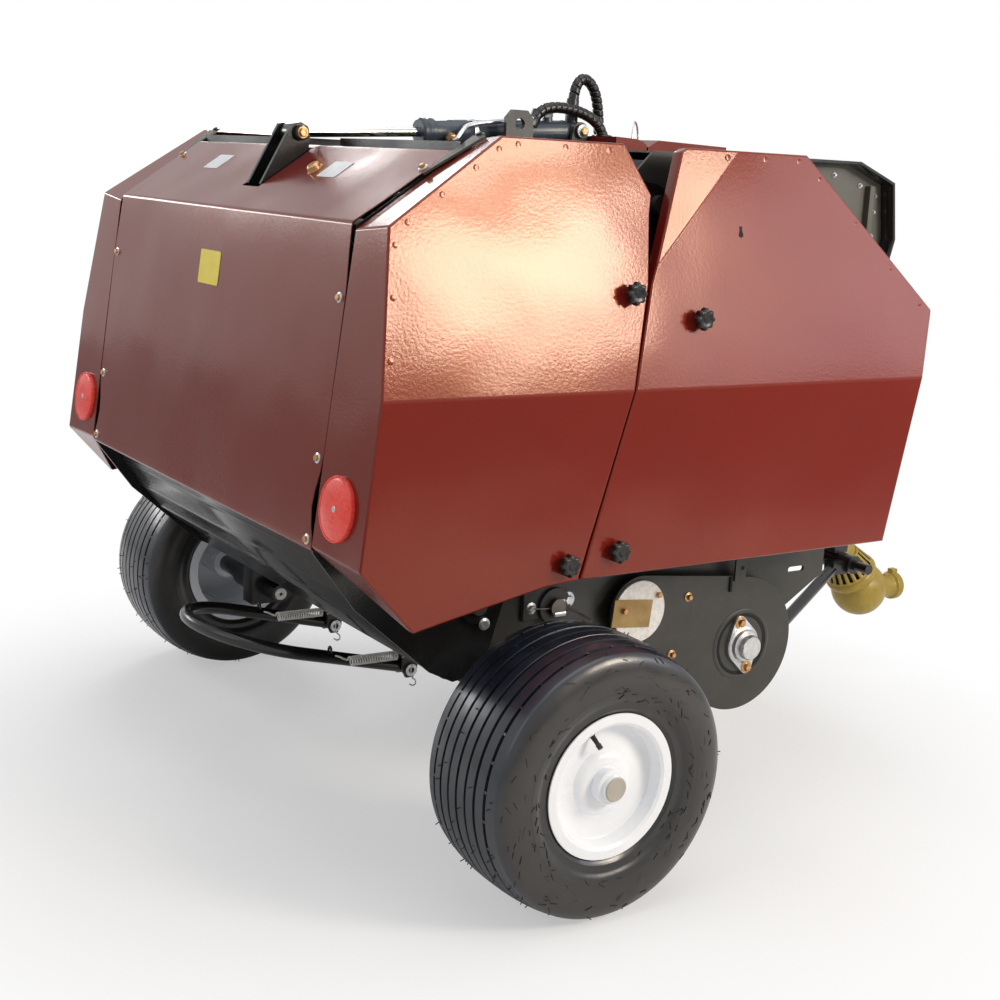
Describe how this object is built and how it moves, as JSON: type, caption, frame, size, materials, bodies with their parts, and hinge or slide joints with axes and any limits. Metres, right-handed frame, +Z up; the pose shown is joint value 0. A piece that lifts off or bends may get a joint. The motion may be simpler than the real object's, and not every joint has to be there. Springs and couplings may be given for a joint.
{
  "type": "mini round baler",
  "caption": "Fixed-chamber round baler for a small tractor: two wheels, pickup, ribbed rollers, a hinged tailgate with a cylinder, bale ramp, three-point hitch and drive shaft.",
  "frame": {"origin": "on the ground under the centre of the machine's overall box", "axes": "+X is the direction of travel, +Y is the machine's left, +Z is up"},
  "size_m": [1.9072, 1.6368, 1.3624],
  "materials": {
    "maroon_paint": "glossy powder coat, faintly orange-peeled",
    "frame_paint": "semi-gloss dark grey paint",
    "black_paint": "gloss black paint",
    "zinc": "bright zinc plating",
    "drum_steel": "rolled steel, lightly polished by crop",
    "chrome_rod": "hard chrome",
    "cast_grey": "painted casting",
    "tyre_rubber": "matt rubber",
    "rim_paint": "cream-white enamel",
    "guard_plastic": "olive-yellow polyethylene",
    "knob_plastic": "fine-grained black plastic",
    "reflector_red": "moulded red reflector",
    "hose_rubber": "black rubber hose in a spiral wrap"
  },
  "bodies": {
    "root": {"frame_walls": "frame_paint", "axle_beam": "frame_paint", "axle_stubs": "frame_paint", "top_beams": "frame_paint", "front_panel": "maroon_paint", "feed_floor": "frame_paint", "front_cover_left": "maroon_paint", "front_cover_right": "maroon_paint", "frame_knobs": "knob_plastic", "twine_box": "black_paint", "top_lid": "maroon_paint", "deck": "black_paint", "pickup_sides": "black_paint", "gearbox": "cast_grey", "hitch_crossbar": "black_paint", "hitch_legs": "black_paint", "hitch_arms": "black_paint", "shaft_saddle": "black_paint", "hoses": "hose_rubber", "frame_chain": "drum_steel", "ramp_springs": "zinc"},
    "tailgate": {"tailgate_walls": "black_paint", "belly": "black_paint", "tailgate_tubes": "frame_paint", "rear_panel": "maroon_paint", "rear_cover_left": "maroon_paint", "rear_cover_right": "maroon_paint", "tailgate_knobs": "knob_plastic", "reflectors": "reflector_red", "tailgate_chain": "drum_steel"},
    "cylinder_barrel": {"cylinder_barrel": "black_paint"},
    "cylinder_rod": {"cylinder_rod": "chrome_rod"},
    "ramp": {"ramp": "black_paint"},
    "wheel_left": {"tyre_left": "tyre_rubber", "rim_left": "rim_paint"},
    "wheel_right": {"tyre_right": "tyre_rubber", "rim_right": "rim_paint"},
    "pickup_reel": {"pickup_reel": "zinc"},
    "drive_shaft": {"shaft_guard": "guard_plastic"},
    "stand": {"stand": "zinc"},
    "front_roller_1": {"front_roller_1": "drum_steel"},
    "front_roller_2": {"front_roller_2": "drum_steel"},
    "front_roller_3": {"front_roller_3": "drum_steel"},
    "front_roller_4": {"front_roller_4": "drum_steel"},
    "rear_roller_1": {"rear_roller_1": "drum_steel"},
    "rear_roller_2": {"rear_roller_2": "drum_steel"},
    "rear_roller_3": {"rear_roller_3": "drum_steel"},
    "rear_roller_4": {"rear_roller_4": "drum_steel"},
    "rear_roller_5": {"rear_roller_5": "drum_steel"},
    "rear_roller_6": {"rear_roller_6": "drum_steel"}
  },
  "joints": [
    {"name": "wheel_left_spin", "type": "hinge", "parent": "root", "child": "wheel_left", "pos_m": [-0.5709, 0.71, 0.2285], "axis": [0, 1, 0], "continuous": true},
    {"name": "wheel_right_spin", "type": "hinge", "parent": "root", "child": "wheel_right", "pos_m": [-0.5709, -0.71, 0.2285], "axis": [0, 1, 0], "continuous": true},
    {"name": "tailgate_open", "type": "hinge", "parent": "root", "child": "tailgate", "pos_m": [-0.3209, 0, 1.12], "axis": [0, 1, 0], "range_deg": [0, 55]},
    {"name": "cylinder_swing", "type": "hinge", "parent": "root", "child": "cylinder_barrel", "pos_m": [-0.1389, 0, 1.246], "axis": [0, 1, 0], "range_deg": [0, 42], "deforming": ["hoses"]},
    {"name": "cylinder_stroke", "type": "slide", "parent": "cylinder_barrel", "child": "cylinder_rod", "axis": [-0.9984, 0, -0.0568], "range_m": [-0.1645, 0]},
    {"name": "ramp_drop", "type": "hinge", "parent": "root", "child": "ramp", "pos_m": [-0.5709, 0, 0.229], "axis": [0, -1, 0], "range_deg": [0, 39], "stiffness_Nm_per_rad": 30, "springref_deg": -25.78, "deforming": ["ramp_springs"]},
    {"name": "drive_shaft_swing", "type": "hinge", "parent": "root", "child": "drive_shaft", "pos_m": [0.3691, 0, 0.76], "axis": [0, -1, 0], "range_deg": [0, 55]},
    {"name": "stand_slide", "type": "slide", "parent": "root", "child": "stand", "axis": [0, 0, 1], "range_m": [0, 0.25]},
    {"name": "pickup_spin", "type": "hinge", "parent": "root", "child": "pickup_reel", "pos_m": [-0.0489, 0, 0.31], "axis": [0, 1, 0], "continuous": true},
    {"name": "front_roller_1_spin", "type": "hinge", "parent": "root", "child": "front_roller_1", "pos_m": [-0.32342, 0, 0.9863], "axis": [0, 1, 0], "continuous": true},
    {"name": "front_roller_2_spin", "type": "hinge", "parent": "root", "child": "front_roller_2", "pos_m": [-0.22466, 0, 0.8371], "axis": [0, 1, 0], "continuous": true},
    {"name": "front_roller_3_spin", "type": "hinge", "parent": "root", "child": "front_roller_3", "pos_m": [-0.2231, 0, 0.65817], "axis": [0, 1, 0], "continuous": true},
    {"name": "front_roller_4_spin", "type": "hinge", "parent": "root", "child": "front_roller_4", "pos_m": [-0.48206, 0, 0.43307], "axis": [0, 1, 0], "continuous": true},
    {"name": "rear_roller_1_spin", "type": "hinge", "parent": "tailgate", "child": "rear_roller_1", "pos_m": [-0.49844, 0, 1.0588], "axis": [0, 1, 0], "continuous": true},
    {"name": "rear_roller_2_spin", "type": "hinge", "parent": "tailgate", "child": "rear_roller_2", "pos_m": [-0.67378, 0, 1.02313], "axis": [0, 1, 0], "continuous": true},
    {"name": "rear_roller_3_spin", "type": "hinge", "parent": "tailgate", "child": "rear_roller_3", "pos_m": [-0.8014, 0, 0.89772], "axis": [0, 1, 0], "continuous": true},
    {"name": "rear_roller_4_spin", "type": "hinge", "parent": "tailgate", "child": "rear_roller_4", "pos_m": [-0.84013, 0, 0.72303], "axis": [0, 1, 0], "continuous": true},
    {"name": "rear_roller_5_spin", "type": "hinge", "parent": "tailgate", "child": "rear_roller_5", "pos_m": [-0.77747, 0, 0.55543], "axis": [0, 1, 0], "continuous": true},
    {"name": "rear_roller_6_spin", "type": "hinge", "parent": "tailgate", "child": "rear_roller_6", "pos_m": [-0.6439, 0, 0.45294], "axis": [0, 1, 0], "continuous": true}
  ],
  "couplings": [
    {"joint": "cylinder_swing", "follows": "tailgate_open", "ratio": 0.756},
    {"joint": "cylinder_stroke", "follows": "tailgate_open", "m_per_rad": -0.1698},
    {"joint": "pickup_spin", "follows": "front_roller_1_spin", "ratio": 0.6},
    {"joint": "front_roller_2_spin", "follows": "front_roller_1_spin", "ratio": 1},
    {"joint": "front_roller_3_spin", "follows": "front_roller_1_spin", "ratio": 1},
    {"joint": "front_roller_4_spin", "follows": "front_roller_1_spin", "ratio": 1},
    {"joint": "rear_roller_1_spin", "follows": "front_roller_1_spin", "ratio": 1},
    {"joint": "rear_roller_2_spin", "follows": "front_roller_1_spin", "ratio": 1},
    {"joint": "rear_roller_3_spin", "follows": "front_roller_1_spin", "ratio": 1},
    {"joint": "rear_roller_4_spin", "follows": "front_roller_1_spin", "ratio": 1},
    {"joint": "rear_roller_5_spin", "follows": "front_roller_1_spin", "ratio": 1},
    {"joint": "rear_roller_6_spin", "follows": "front_roller_1_spin", "ratio": 1}
  ]
}
